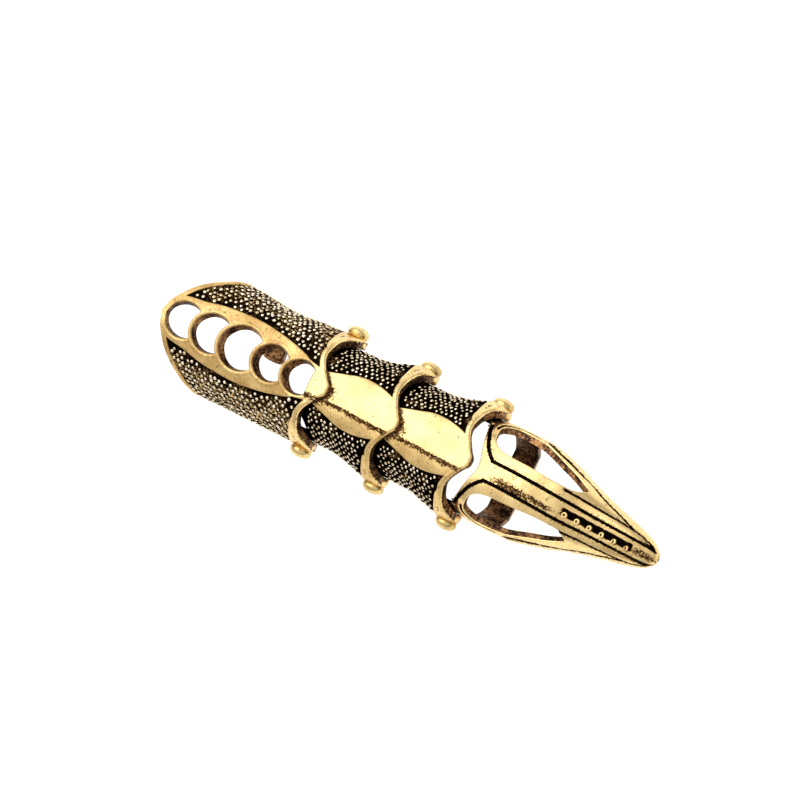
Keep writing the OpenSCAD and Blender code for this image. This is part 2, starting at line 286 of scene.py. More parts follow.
def makePiece(name, parts, materials, sharp=38):
    faces, finish, start = [], [], 0
    for part in parts:
        faces += [tuple(i + start for i in f) for f in part["faces"]]
        finish += part["finish"]
        start += len(part["points"])
    mesh = bpy.data.meshes.new(name)
    mesh.from_pydata((np.vstack([part["points"] for part in parts]) * metre).tolist(), [], faces)
    mesh.polygons.foreach_set("material_index", finish)
    for title in ("grime", "satin", "wear"):
        values = [part.get(title, np.zeros(len(part["points"]))) for part in parts]
        addLayer(mesh, title, np.concatenate(values))
    bm = bmesh.new()
    bm.from_mesh(mesh)
    bmesh.ops.remove_doubles(bm, verts=bm.verts, dist=0.012 * metre)
    bmesh.ops.dissolve_degenerate(bm, edges=bm.edges, dist=1e-7)
    bm.to_mesh(mesh)
    bm.free()
    for material in materials:
        mesh.materials.append(material)
    mesh.shade_smooth()
    mesh.set_sharp_from_angle(angle=math.radians(sharp))
    print("made", name, len(mesh.polygons), "faces")
    return addObject(name, mesh)


# Finishes

def colour(hexValue):    # an sRGB hex value as linear red, green, blue, alpha
    parts = [int(hexValue[i:i + 2], 16) / 255 for i in (1, 3, 5)]
    return tuple(c / 12.92 if c <= 0.04045 else ((c + 0.055) / 1.055) ** 2.4 for c in parts) + (1,)


def wire(node, links):    # a link starts at a socket, or at a node's first live output
    for key, source in links.items():
        if isinstance(source, bpy.types.Node):
            source = next(s for s in source.outputs if s.enabled)
        node.id_data.links.new(source, node.inputs[key])


def addNode(tree, kind, settings=None, links=None):
    node = tree.nodes.new(kind)
    for key, value in (settings or {}).items():
        if isinstance(key, str) and hasattr(node, key):
            setattr(node, key, value)
        else:
            node.inputs[key].default_value = value
    wire(node, links or {})
    return node


def newMaterial(name):
    material = bpy.data.materials.new(name)
    material.use_nodes = True
    tree = material.node_tree
    return material, partial(addNode, tree), tree.nodes["Principled BSDF"]


goldLooks = {
    "bright": "#F5D796",    # rubbed high spots
    "warm": "#DDBB80",      # the coppery tone in the hollows of the casting
    "brown": "#5F4223",     # thin blackening that lets the metal through
    "black": "#0B0706",     # full blackening
    "pit": "#3A2412",
    "satin": "#C39E61",     # where the plate was left unpolished
    "roughLow": 0.2,
    "roughHigh": 0.36,
    "satinRough": 0.2,      # added where it was left unpolished
    # where each sets in and is full, and its strength
    "blackRange": (0.5, 0.85, 1),
    "brownRange": (0.26, 0.52, 1),
    "pitRange": (0.61, 0.74, 0.6),
}
grainLooks = {**goldLooks, "bright": "#FFF2DA", "warm": "#E6D2A6", "satin": "#A8946A",
              "roughLow": 0.12, "roughHigh": 0.26}
rivetLooks = {**goldLooks, "bright": "#E9CF90", "warm": "#BF9F62"}


def antiqueGold(name, looks):
    # Zinc casting with antique gold plate: blackened all over, then rubbed back, so that the high
    # spots shine pale yellow, the hollows stay near black and the edges between them turn brown.
    material, add, shader = newMaterial(name)
    place = add("ShaderNodeTexCoord").outputs["Object"]
    # the grime values also carry painted shade: on the knuckle plates in front of the lip before each, on the
    # inner ears and at the claw's rear corners
    grime, satin, wear = [add("ShaderNodeAttribute", {"attribute_name": title}).outputs["Fac"]
                          for title in ("grime", "satin", "wear")]
    cloud, grain, pits = [
        add("ShaderNodeTexNoise", {"Scale": scale, "Detail": detail, "Roughness": rough}, {"Vector": place})
        for scale, detail, rough in ((260, 4, 0.5), (2600, 5, 0.65), (1500, 2, 0.5))]    # 4, 0.4 and 0.7 mm
    # where the blackening is half worn off, the noise breaks it into speckles
    spread = add("ShaderNodeMath", {"operation": "MULTIPLY_ADD", 1: 4.5, 2: 1.3}, {0: wear})
    centred = add("ShaderNodeMath", {"operation": "SUBTRACT", 1: 0.5}, {0: grain})
    broken = add("ShaderNodeMath", {"operation": "MULTIPLY_ADD"}, {0: centred, 1: spread, 2: grime})
    black, brown, pit = [
        add("ShaderNodeMapRange", {"interpolation_type": "SMOOTHSTEP", "From Min": looks[key][0],
                                   "From Max": looks[key][1], "To Max": looks[key][2]}, {"Value": source})
        for key, source in (("blackRange", broken), ("brownRange", broken), ("pitRange", pits))]
    mottled = add("ShaderNodeMath", {"operation": "MULTIPLY_ADD", 1: 0.9}, {0: grain, 2: cloud})
    tone = add("ShaderNodeMapRange", {"From Min": 0.78, "From Max": 1.16}, {"Value": mottled})
    uneven = add("ShaderNodeMapRange", {"From Min": 0.82, "From Max": 1.12, "To Min": 0.35},
                 {"Value": mottled})
    unpolished = add("ShaderNodeMath", {"operation": "MULTIPLY"}, {0: satin, 1: uneven})
    # layers of colour, each mixed over the ones before it (6 and 7 are a mix's colours, 0 its share)
    layer = add("ShaderNodeMix", {"data_type": "RGBA", 6: colour(looks["bright"]), 7: colour(looks["warm"])},
                {0: tone})
    for title, share in {"satin": unpolished, "brown": brown, "pit": pit, "black": black}.items():
        layer = add("ShaderNodeMix", {"data_type": "RGBA", 7: colour(looks[title])}, {0: share, 6: layer})
    metal = add("ShaderNodeMapRange", {"To Min": 1.0, "To Max": 0.97}, {"Value": black})
    smoothness = add("ShaderNodeMapRange", {"From Min": 0.3, "From Max": 0.7, "To Min": looks["roughLow"],
                                            "To Max": looks["roughHigh"]}, {"Value": grain})
    matt = add("ShaderNodeMath", {"operation": "MULTIPLY_ADD", 1: looks["satinRough"]},
               {0: satin, 2: smoothness})
    rough = add("ShaderNodeMix", {3: 0.5}, {0: brown, 2: matt})
    bump = add("ShaderNodeBump", {"Strength": 0.55, "Distance": 0.04 * metre}, {"Height": grain})
    tint = add("ShaderNodeMix", {"data_type": "RGBA", 6: (1, 1, 1, 1), 7: colour(looks["brown"])}, {0: black})
    wire(shader, {"Base Color": layer, "Metallic": metal, "Roughness": rough, "Normal": bump,
                  "Specular Tint": tint})
    return material


# each colour, and where it lies on the ramp; the ramp is kept dark, with a wide black share, as painted shade
# on the insides and walls
innerLooks = {"black": ("#120B07", 0.68), "low": ("#53341F", 0.78), "high": ("#BD8E5C", 0.98)}


def castBackAndShade(looks):
    # The unpolished back of the casting: a grainy surface, brown with rubbed-off blackening. Its colours are
    # kept dark as painted shade, for the shade on the insides and walls.
    material, add, shader = newMaterial("unpolished_cast_back_and_painted_shade")
    place = add("ShaderNodeTexCoord").outputs["Object"]
    cloud, grain = [
        add("ShaderNodeTexNoise", {"Scale": scale, "Detail": detail, "Roughness": rough}, {"Vector": place})
        for scale, detail, rough in ((420, 3, 0.5), (1900, 5, 0.7))]    # 2.4 and 0.5 mm
    mixed = add("ShaderNodeMath", {"operation": "MULTIPLY_ADD", 1: 0.6}, {0: cloud, 2: grain})
    ramps = add("ShaderNodeValToRGB", None, {"Fac": mixed})
    steps = ramps.color_ramp.elements
    for step, title in zip(steps, ("black", "high")):
        step.position, step.color = looks[title][1], colour(looks[title][0])
    steps.new(looks["low"][1]).color = colour(looks["low"][0])
    bump = add("ShaderNodeBump", {"Strength": 0.7, "Distance": 0.12 * metre}, {"Height": grain})
    shader.inputs["Metallic"].default_value = 0.85
    shader.inputs["Roughness"].default_value = 0.45
    wire(shader, {"Base Color": ramps, "Normal": bump})
    return material


gold = antiqueGold("antique_gold_plate", goldLooks)
grainGold = antiqueGold("burnished_grain_tops", grainLooks)
rivetGold = antiqueGold("rubbed_gold_plate", rivetLooks)
finishes = [gold, castBackAndShade(innerLooks)]


# Granulation: small grains set by Geometry Nodes on points that carry the surface's normal

grainInputs = {"Grain radius": "radius", "Smallest scale": "smallest", "Largest scale": "largest",
               "Clean from": "cleanFrom", "Clean to": "cleanTo"}


def grainTree(name, material):
    tree = bpy.data.node_groups.new(name, "GeometryNodeTree")
    for title in ("Geometry", *grainInputs, "Seed"):
        kind = {"Geometry": "Geometry", "Seed": "Int"}.get(title, "Float")
        tree.interface.new_socket(title, in_out="INPUT", socket_type="NodeSocket" + kind)
    tree.interface.new_socket("Geometry", in_out="OUTPUT", socket_type="NodeSocketGeometry")
    add = partial(addNode, tree)
    given = add("NodeGroupInput").outputs
    grain = add("GeometryNodeMeshIcoSphere", {"Subdivisions": 2}, {"Radius": given["Grain radius"]})
    spot = add("ShaderNodeSeparateXYZ", None, {0: add("GeometryNodeInputPosition")})
    height = add("ShaderNodeMath", {"operation": "DIVIDE"}, {0: spot.outputs["Z"], 1: given["Grain radius"]})
    dirt = add("ShaderNodeMapRange", {"To Min": 1.0, "To Max": 0.0},
               {"Value": height, "From Min": given["Clean from"], "From Max": given["Clean to"]})
    stored = add("GeometryNodeStoreNamedAttribute", {"Name": "grime"}, {"Geometry": grain, "Value": dirt})
    facing = add("GeometryNodeInputNamedAttribute", {"data_type": "FLOAT_VECTOR", "Name": "facing"})
    turn = add("FunctionNodeAlignRotationToVector", {"axis": "Z"}, {"Vector": facing})
    scale = add("FunctionNodeRandomValue", {"data_type": "FLOAT"},    # 2 and 3 are its limits as floats
                {2: given["Smallest scale"], 3: given["Largest scale"], "Seed": given["Seed"]})
    placed = add("GeometryNodeInstanceOnPoints", None,
                 {"Points": given["Geometry"], "Instance": stored, "Rotation": turn, "Scale": scale})
    real = add("GeometryNodeRealizeInstances", None, {"Geometry": placed})
    smooth = add("GeometryNodeSetShadeSmooth", None, {"Geometry": real})
    painted = add("GeometryNodeSetMaterial", {"Material": material}, {"Geometry": smooth})
    add("NodeGroupOutput", None, {"Geometry": painted})
    return tree


grains = {
    "radius": 0.37,
    "smallest": 0.78,
    "largest": 1.12,
    "pitch": 1.04,
    "jitter": 0.2,
    "sink": 0.06,       # how far a grain's centre lies below the ground
    "cleanFrom": 0.42,  # share of the radius where the rubbed top begins
    "cleanTo": 0.88,
}
wornGrains = {**grains, "radius": 0.43, "largest": 1.15, "pitch": 1.1, "jitter": 0.25, "sink": 0.09,
              "cleanFrom": 0.4, "cleanTo": 0.9}    # the base's grains are coarser and rubbed further down
granulation = grainTree("granulation", grainGold)


def addGrains(name, joint, spots, ground, slope, seed, looks):
    angle = spots[:, 1] / unroll
    facing = np.column_stack([-slope, np.sin(angle), np.cos(angle)])
    mesh = bpy.data.meshes.new(name)
    mesh.from_pydata((toRing(joint, spots[:, 0], angle, ground - looks["sink"]) * metre).tolist(), [], [])
    mesh.attributes.new("facing", "FLOAT_VECTOR", "POINT").data.foreach_set(
        "vector", facing.astype(np.float32).ravel())
    addLayer(mesh, "satin", np.clip(np.random.default_rng(seed).uniform(-1.2, 1, len(spots)), 0, 1))
    carrier = addObject(name + "_points", mesh)
    modifier = carrier.modifiers.new("granulation", "NODES")
    modifier.node_group = granulation
    given = {title: looks[key] for title, key in grainInputs.items()}
    given |= {"Grain radius": looks["radius"] * metre, "Seed": seed}
    for socket in granulation.interface.items_tree:
        if socket.name in given:
            modifier[socket.identifier] = given[socket.name]
    plain = bpy.data.meshes.new_from_object(carrier.evaluated_get(bpy.context.evaluated_depsgraph_get()))
    plain.name = name
    plain.materials.pop(index=0)    # the empty slot that Set Material leaves
    bpy.data.objects.remove(carrier)
    print("made", name, len(spots), "grains")
    return addObject(name, plain)


def grainSpots(outline, allowed, seed, looks):
    # A staggered lattice with small random shifts, kept where the ground is free
    spots = lattice(outline.min(0), outline.max(0), looks["pitch"])
    spots += np.random.default_rng(seed).uniform(-1, 1, spots.shape) * looks["jitter"]
    return spots[allowed(spots)]


# A lip: the rounded bar along a plate's front edge, from the tongue out to the ear

lipShape = {
    # share of the tongue's length, degrees from the ridge
    "front": [(1.0, 0), (0.96, 4.7), (0.67, 10.8), (0.35, 18.7), (0.09, 26.1), (-0.04, 33.4), (-0.04, 41.3),
              (0.0, 51.2), (0.11, 59.6), (0.31, 67), (0.5, 76), (0.58, 86), (0.58, 96)],
    # mm from the joint, degrees
    "rear": [(-0.1, 17.2), (-0.8, 24.4), (-1.4, 33.4), (-1.72, 43.5), (-1.8, 54.7), (-1.9, 66),
             (-2.05, 78), (-2.1, 88), (-2.1, 100)],
    "crest": (0.62, 0.64),     # the bar's middle, from the front edge, and its half-width
    "second": (0.46, 0.5),     # the same for the lower bar along the rear edge
    "secondShare": 0.86,       # of the lip's relief
}


def lipLines(tongue, x0):
    front = smoothed(unrolled([(x0 + share * tongue, angle) for share, angle in lipShape["front"]]), 0.2)
    rear = smoothed(unrolled([(x0 + along, angle) for along, angle in lipShape["rear"]]), 0.25)
    return front, rear


def lipHeight(points, front, rear):    # height above the ground, and how far inside the bar a point is
    half = folded(points)
    inside = insideOf(half, np.vstack([front, rear[::-1]]))
    toFront, toRear = distanceTo(half, front), distanceTo(half, rear)
    crest = dome((toFront - lipShape["crest"][0]) / lipShape["crest"][1])
    second = dome((toRear - lipShape["second"][0]) / lipShape["second"][1]) * ramp(6, 9, half[:, 1])
    bed = (0.36 + 0.3 * ramp(11, 14, half[:, 1])) * ramp(0, 0.12, toRear)
    shape = np.maximum.reduce([crest, lipShape["secondShare"] * second, bed])
    return np.where(inside, ring["lipRelief"] * shape, 0), np.where(inside, toRear, -toRear)


def mark(flat):    # a darker, speckled band along the panels, a little right of the ridge
    aside = flat[:, 1] - ring["markAside"]
    line = bell(np.maximum(aside, 0), 0.32) * bell(np.minimum(aside, 0), 0.8)
    return np.clip(1.35 * line * (1 + 0.3 * waves(flat, 1.6, 77)), 0, 1)


def panelRise(depth, towardsLip):    # the step up to a polished panel, with a faint raised rim
    return (ring["panelRelief"] * ramp(-0.08, 0.1, depth) + 0.05 * bell(depth - 0.3, 0.16)
            + ring["panelSwell"] * towardsLip * ramp(0, 0.5, depth))


def blackened(height, lip, full):    # where the ground is bare, and the grime there and at each step's foot
    bare = ramp(0.2, 0.08, height)
    foot = 0.75 * bell(height - 0.1, 0.09) * (height > 0.01)
    return bare, np.maximum(full * bare, foot) + np.where(lip > 0.02, 0.42 * ramp(0.36, 0.2, lip), 0)


def aged(grime, smearAndShade, worn, spec):    # the final grime and painted shade, and how speckled it is
    less, speckled = spec["worn"]
    grime = np.clip(grime - less * worn + ring["smearAndShadeStrength"] * smearAndShade, 0, 1)
    return grime, np.maximum(speckled * worn, ring["smearAndShadeSpeckle"] * smearAndShade)


def panelLoop(leafHalf, front):    # the panel runs from its rear end to the lip's tongue
    cap = front[front[:, 1] < leafHalf[0, 1]][::-1]
    return np.vstack([leafHalf, mirrorRound(leafHalf)[::-1], mirrorRound(cap), cap[::-1]])


def plateOutline(frontHalf, side, fullRear):
    return np.vstack([mirrorRound(frontHalf)[:0:-1], frontHalf, side, fullRear, mirrorRound(side)[::-1]])


def roomForGrains(points, outline, panel, lines, edge):
    room = -ring["grainRoom"]
    return (insideOf(points, outline) & (signedInside(points, panel) < room)
            & (lipHeight(points, *lines)[1] < room) & (distanceTo(points, outline, True) > edge))


def ears(joint, inner):    # the round ears of one joint, both sides
    low, high = ring["innerEar"] if inner else ring["outerEar"]
    r, cut = ring["earRadius"], 0.18
    if inner:
        profile = [(0.02, low), (r - cut, low), (r, low + cut),
                   (r, high - cut), (r - cut, high), (0.02, high)]
        # painted shadow: the inner ear is painted near black all over, for the shade under the outer ear and
        # rivet head that cover it
        grimesAndShade = [1, 1, 0.9, 0.9, 1, 1]
    else:    # rounded over towards the rivet's head
        profile = [(0.02, low), (r - 0.6, low), (r - 0.2, low + 0.16), (r, low + 0.55), (r, low + 0.8)]
        profile += [(r - 0.75 * (1 - math.cos(a)), low + 0.8 + 0.85 * math.sin(a))
                    for a in np.linspace(0.25, math.pi / 2, 6)] + [(0.02, low + 1.65)]
        grimesAndShade = [0.8, 0.7, 0.5, 0.3, 0.15, 0.1, 0.1, 0.15, 0.3, 0.5, 0.7, 0.9]
    return [onHinge(profile, joint, side, 36, grimesAndShade) for side in (1, -1)]


# The bands' outlines: share of the standing height above the axis, share of the band's width
bandShares = [(0.06, 0.85), (-0.12, 0.85), (-0.35, 0.62), (-0.6, 0.5), (-0.8, 0.5)]


def bandStrip(joint, centre, width, flare, ends, radius, drop, seed, pull=0.0):
    # A band under the finger, in its own polar frame about a centre that may lie below the axis
    low = ring["standHeight"] - drop
    front, back = [], []
    for level, half in bandShares:
        angle = math.degrees(math.acos(max((level * ring["standHeight"] + drop) / radius, -0.999)))
        front.append((centre + half * width, angle))
        back.append((centre - max(half * flare, 0.5) * width, angle))
    lineFront, lineBack = [smoothed(unrolled(rows), 0.3) for rows in (front, back)]
    if ends is None:    # closed: the far side is the same band, turned round
        farFront, farBack = [smoothed(unrolled([(x, 360 - angle) for x, angle in rows[::-1]]), 0.3)
                             for rows in (front, back)]
        outlines = [np.vstack([lineFront, farFront, farBack[::-1], lineBack[::-1]])]
    else:
        outlines = []
        for end, side in zip(ends, (1, -1)):
            tip = [(front[-1][0], end - 2.5), (centre + 0.3 * width, end - 0.5), (centre, end),
                   (centre - 0.3 * width, end - 0.5), (back[-1][0], end - 2.5)]
            loop = np.vstack([lineFront, smoothed(unrolled(tip), 0.25), lineBack[::-1]]) * (1, side)
            outlines.append(loop[::side])

    def reachAt(flat, reach, level):    # a circle, cut flat underneath; the left root follows the waist
        down = -np.cos(flat[:, 1] / unroll)
        whole = np.where(down > 0, np.minimum(reach, level / np.maximum(down, 1e-3)), reach)
        return whole - pull * ramp(27, 19, flat[:, 1]) * (flat[:, 1] > 0)

    def outer(flat, along):
        rough = 0.28 + 0.2 * waves(flat, 1.7, seed + 1)
        return reachAt(flat, radius, low) - 0.03 + 0.03 * waves(flat, 2.5, seed), rough, np.zeros(len(flat))

    def inner(flat, along):
        return reachAt(flat, radius - ring["wall"], low - ring["wall"])

    return [makeSkin(joint, outline, [], [], outer, inner, 0.55, drop=drop) for outline in outlines]


# The base plate

base = {
    "tongue": 3.4,
    "rearRim": 1.0,
    "sideRim": 1.15,
    # mm from the first joint, degrees from the ridge
    "rearEdge": [(-22.5, 96), (-22.5, 88), (-23.1, 77), (-24.1, 66), (-25.1, 57), (-26.7, 45.6),
                 (-28.2, 34), (-29.4, 23), (-30.4, 13), (-31.1, 0)],
    "leaf": [(0.2, 17.6), (-2, 19.8), (-4, 23.8), (-7.9, 29.2), (-11.7, 32.4), (-14.5, 33.4),
             (-17.3, 32.6), (-21, 30.5), (-24.5, 25.8), (-28.2, 22.4), (-29.8, 16)],
    # mm from the first joint, radius, and how far the next hole's rim reaches past that hole
    "holes": [(-26.6, 3.35, 0.74), (-20.9, 3.65, 0.74), (-14.8, 4.15, 0.74), (-8.45, 3.4, 0.68),
              (-2.6, 3.18, 0.0)],
    "holeFront": -0.46,
    "holeLean": (0.1, 0.45, 0.75, 0.85, 1.0),
    "waist": 0.7,               # the left side is drawn in this far, 12 mm behind the joint
    "waistInside": 0.6,         # the shares of that by which the inner face and the band follow
    "waistBand": 0.72,
    "rubbed": (0.6, 0.95),      # how far the ground is rubbed bare low on the left and on the right
    "worn": (0.45, 0.75),       # how much grime the rubbing takes off, and how speckled it leaves it
    "bandBack": 15.55,
    "bandWidth": 3.9,
    "bandEnds": (178, 161.3),   # degrees from the ridge, on the left and on the right
    "spacing": 0.42,
}


def crescents(spec):    # each hole is a circle, cut by the rim of the next one
    loops, radius = [], ring["groundRadius"] + ring["panelRelief"]
    turn = np.linspace(0, 2 * math.pi, 120, endpoint=False)
    for i, (x, r, rim) in enumerate(spec["holes"]):
        loop = np.column_stack([x + r * np.cos(turn), r * np.sin(turn)])
        if i + 1 < len(spec["holes"]):
            nextX, nextRadius, _ = spec["holes"][i + 1]
            reach = nextRadius + rim
            away = loop - (nextX, 0)
            size = np.hypot(*away.T)
            cut = size < reach
            loop[cut] = (nextX, 0) + away[cut] / size[cut][:, None] * reach
            loop = loop[loop[:, 0] < nextX]
        else:
            loop[:, 0] = np.minimum(loop[:, 0], spec["holeFront"])
        loop[:, 1] = np.arcsin(np.clip(loop[:, 1] / radius, -1, 1)) * unroll
        loops.append(evenly(loop, 0.2, True))
    return loops


def makeBase(spec):
    lines = front, rear = lipLines(spec["tongue"], 0)
    rearEdge = smoothed(unrolled(spec["rearEdge"]), 0.2)
    lowest = skirtRound(ring["groundRadius"])
    frontHalf = front[front[:, 1] < lowest]
    xs = np.linspace(frontHalf[-1, 0], spec["rearEdge"][0][0], 110)
    side = np.column_stack([xs, np.full(110, lowest)])
    fullRear = across(rearEdge[rearEdge[:, 1] < lowest])
    outline = plateOutline(frontHalf, side, fullRear)
    holes = crescents(spec)
    leafHalf = smoothed(unrolled(spec["leaf"]), 0.3)
    panel = panelLoop(leafHalf, front)

    def waistAt(along, sideways):
        return spec["waist"] * bell(along + 12, 6) * ramp(9, 15, sideways)

    def outer(flat, along):
        lip = lipHeight(flat, front, rear)[0]
        depth = signedInside(flat, panel)
        holeRim = 0.11 * bell(nearest(flat, holes) - 0.36, 0.2)
        leaf = panelRise(depth, ramp(-2, 2, along)) + np.where(depth > 0.2, holeRim, 0)
        rim = ring["panelRelief"] * ramp(0.06, -0.08, distanceTo(flat, fullRear) - spec["rearRim"])
        down = np.abs(flat[:, 1])
        sideRim = 0.24 * ramp(0.05, -0.08, lowest - down - spec["sideRim"])
        height = np.maximum.reduce([leaf, rim, sideRim, lip])
        bare, grime = blackened(height, lip, 0.95)
        left, right = spec["rubbed"]
        worn = ramp(4, 10, down) * np.where(flat[:, 1] < 0, right, left) + 0.3 * waves(flat, 6, 3)
        worn = np.clip(worn, 0, 1) * bare
        smearAndShade = mark(flat) * ramp(-1.5, 0, along)
        radius = ring["groundRadius"] + height - waistAt(along, flat[:, 1])
        return radius, *aged(grime, smearAndShade, worn, spec)

    def inner(flat, along):
        pulled = spec["waistInside"] * waistAt(along, flat[:, 1])
        return ring["boreRadius"] + 0.03 * waves(flat, 1.5, 8) - pulled

    def lean(flat):    # inside, each hole's rear wall runs forwards, as the mould left it
        shift = np.zeros((len(flat), 2))
        for (x, r, _), reach, loop in zip(spec["holes"], spec["holeLean"], holes):
            rearward = np.clip((x + 0.2 * r - flat[:, 0]) / r, 0, 1)
            share = reach * rearward * ramp(1.6, 0.1, distanceTo(flat, loop, True))
            shift[:, 0] = np.maximum(shift[:, 0], share)
        return shift

    creases = bothSides(leafHalf) + bothSides(rear) + offsetPair(fullRear, spec["rearRim"])
    creases += bothSides(side - (0, spec["sideRim"]))
    skin = makeSkin(0, outline, holes, creases, outer, inner, spec["spacing"], lean=lean)
    skin["satin"] = ramp(joints[0].x - 0.8, joints[0].x - 4, skin["points"][:, 0])
    bands = bandStrip(0, -spec["bandBack"], spec["bandWidth"], 1, spec["bandEnds"],
                      ring["groundRadius"], 0, 21, spec["waist"] * spec["waistBand"])
    piece = makePiece("base_sleeve", [skin] + ears(0, False) + bands, finishes)

    def free(p):
        return (roomForGrains(p, outline, panel, lines, 0.95)
                & (distanceTo(p, fullRear) > spec["rearRim"] + 0.3))

    spots = grainSpots(outline, free, 5, wornGrains)
    ground = ring["groundRadius"] - waistAt(spots[:, 0], spots[:, 1])
    return piece, addGrains("base_granulation", 0, spots, ground, np.zeros(len(spots)), 5, wornGrains)


basePiece, baseGrains = makeBase(base)


# The two knuckle plates: one pattern, cast twice

knuckle = {
    "pitch": 15.1,
    "tongue": 2.9,
    # mm from the rear joint, radius of the ground
    "flare": [(-2.6, 8.8), (0, 8.8), (1.8, 8.95), (5, 8.98), (6.8, 9.12), (8.3, 9.42), (10.6, 9.98),
              (12.8, 10.38), (14.1, 10.5), (16.5, 10.5), (19, 10.5)],
    # mm from the rear joint, degrees from the ridge
    "rearEdge": [(1.18, 104), (1.18, 84), (1.1, 70), (0.7, 56), (0.43, 43.8), (0, 34.1), (-0.6, 24),
                 (-0.8, 12), (-0.86, 0)],
    # mm from the rear joint, half-width in mm
    "leaf": [(15.2, 3.35), (14.8, 4.0), (13.7, 4.4), (11.2, 4.9), (8.2, 5.0), (6.4, 4.75), (4.6, 4.2),
             (1.3, 3.2), (-0.9, 2.7)],
    "sideRim": 1.1,
    "dullRight": 0.75,       # the facet right of the ridge is less polished
    "sweep": (0.75, 0.25),   # how far the left and right side swing out to the front ear
    "sweepInside": 0.7,      # the share of that by which the inner face follows
    "worn": (0.3, 0.3),
    "spacing": 0.42,
}
# how far the rear edge reaches under the lip before it, where round the finger, and over what width
wideReach, narrowReach = (1.4, 9.8, 3.4), (1.2, 6.8, 2.3)


def makeKnuckle(name, joint, spec, lipBefore, rearReach, seed):
    table = smoothed(spec["flare"], 0.2)

    def groundAt(along):
        return np.interp(along, table[:, 0], table[:, 1])

    lines = front, rear = lipLines(spec["tongue"], spec["pitch"])
    rearHalf = smoothed(unrolled(spec["rearEdge"]), 0.2)
    xs = np.linspace(front[-1, 0], spec["rearEdge"][0][0], 90)
    side = np.column_stack([xs, skirtRound(groundAt(xs))])
    frontHalf = front[front[:, 1] < side[0, 1] - 0.1]
    rearHalf = rearHalf[rearHalf[:, 1] < side[-1, 1] - 0.1]
    leftRear, rightRear = (rearHalf - bell(rearHalf[:, 1] - where, width)[:, None] * (much, 0)
                           for much, where, width in rearReach)
    outline = plateOutline(frontHalf, side, np.vstack([leftRear, mirrorRound(rightRear)[-2::-1]]))
    leafRows = [(x, math.degrees(math.asin(w / (float(groundAt(x)) + 0.25)))) for x, w in spec["leaf"]]
    leafHalf = smoothed(unrolled(leafRows), 0.3)
    panel = panelLoop(leafHalf, front)
    cover = lipLines(lipBefore, 0)[0]

    def coveredTo(flat):    # how far forward the lip before this plate covers it
        return np.interp(np.abs(flat[:, 1]), cover[:, 1], cover[:, 0])

    def swungOut(flat):    # the sides swing out to the front ears
        share = bell(np.minimum(flat[:, 0] - spec["pitch"] + 0.5, 0), 3.2)
        share *= ramp(9, 15, np.abs(flat[:, 1])) * ramp(spec["pitch"] + 2, spec["pitch"] + 0.5, flat[:, 0])
        return share * np.where(flat[:, 1] > 0, spec["sweep"][0], spec["sweep"][1])

    def outer(flat, along):
        lip = lipHeight(flat, front, rear)[0]
        depth = signedInside(flat, panel)
        toSide = skirtRound(groundAt(along)) - np.abs(flat[:, 1])
        sideRim = 0.2 * ramp(0.05, -0.08, toSide - spec["sideRim"]) * ramp(2.5, 4, along)
        height = np.maximum.reduce([panelRise(depth, ramp(12.5, 17, along)), sideRim, lip])
        bare, grime = blackened(height, lip, 0.97)
        # painted shadow: brown in front of the lip before it, where that lip shades the plate, wider on the
        # right of the nose
        width = 0.9 + 0.9 * bell(flat[:, 1] + 1.3, 2)
        shade = 0.95 * bell(np.maximum(along - coveredTo(flat), 0), width) * ramp(0, 0.3, depth)
        # the smear value here holds this painted shadow as well as the darker band along the panels
        smearAndShade = np.clip(np.maximum(mark(flat) * ramp(0, 0.4, depth), shade), 0, 1)
        worn = ramp(0.2, 1.0, waves(flat, 5, seed)) * bare
        radius = groundAt(along) + height + swungOut(flat)
        return radius, *aged(grime, smearAndShade, worn, spec)

    def inner(flat, along):
        radius = groundAt(along) - ring["wall"] + 0.03 * waves(flat, 1.5, seed + 1)
        return radius + spec["sweepInside"] * swungOut(flat)

    creases = bothSides(leafHalf) + bothSides(rear)
    skin = makeSkin(joint, outline, [], creases, outer, inner, spec["spacing"])
    skin["satin"] = spec["dullRight"] * ramp(-1.5, -2.3, skin["points"][:, 1])
    piece = makePiece(name, [skin] + ears(joint, True) + ears(joint + 1, False), finishes)

    def free(p):
        return roomForGrains(p, outline, panel, lines, 0.8) & (p[:, 0] > np.maximum(coveredTo(p) + 0.4, 0.6))

    spots = grainSpots(outline, free, seed + 2, grains)
    slope = (groundAt(spots[:, 0] + 0.05) - groundAt(spots[:, 0] - 0.05)) / 0.1
    ground = groundAt(spots[:, 0]) + swungOut(spots)
    return piece, addGrains(name + "_granulation", joint, spots, ground, slope, seed + 2, grains)


rearPiece, rearGrains = makeKnuckle("knuckle_cover_rear", 0, knuckle, base["tongue"],
                                    (wideReach, narrowReach), 31)
frontPiece, frontGrains = makeKnuckle("knuckle_cover_front", 1, knuckle, knuckle["tongue"],
                                      (wideReach, wideReach), 41)


# The claw

